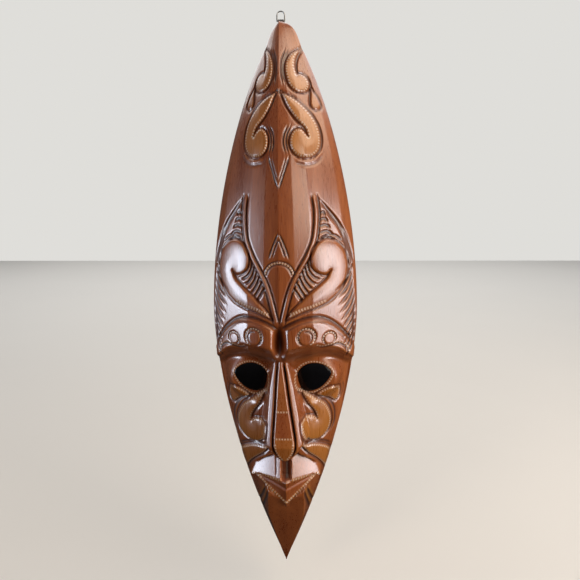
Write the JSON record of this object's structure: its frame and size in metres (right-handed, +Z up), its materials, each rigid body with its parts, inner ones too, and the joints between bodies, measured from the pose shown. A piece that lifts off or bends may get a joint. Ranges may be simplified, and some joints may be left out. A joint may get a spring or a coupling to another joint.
{
  "type": "carved wall mask",
  "caption": "Leaf-shaped carved wooden face mask, hollow behind, with domed black eyes and a small swinging loop at the top to hang it by.",
  "frame": {"origin": "the hang point: on the wall plane, at the crown of the loop that a nail or hook goes through", "axes": "+Z up along the mask, -Y out of the carved front towards the viewer, y = 0 the wall plane that the rim rests on, +X to the viewer's right"},
  "size_m": [0.131, 0.0598, 0.5109],
  "materials": {
    "carved_wood": "reddish-brown stained and glossy varnished, ochre on the raised scrolls, dark in the cuts",
    "black_glass": "polished black glass or resin",
    "hanger_steel": "zinc-plated, slightly dull"
  },
  "bodies": {
    "mask": {"mask_shell": "carved_wood", "left_eye_inlay": "black_glass", "right_eye_inlay": "black_glass", "hanger_strap": "hanger_steel", "hanger_screws": "hanger_steel"},
    "ring": {"hanger_ring": "hanger_steel"}
  },
  "joints": [
    {"name": "ring_swing", "type": "hinge", "parent": "mask", "child": "ring", "pos_m": [0, -0.002, -0.0069], "axis": [1, 0, 0], "range_deg": [-125, 85]}
  ]
}
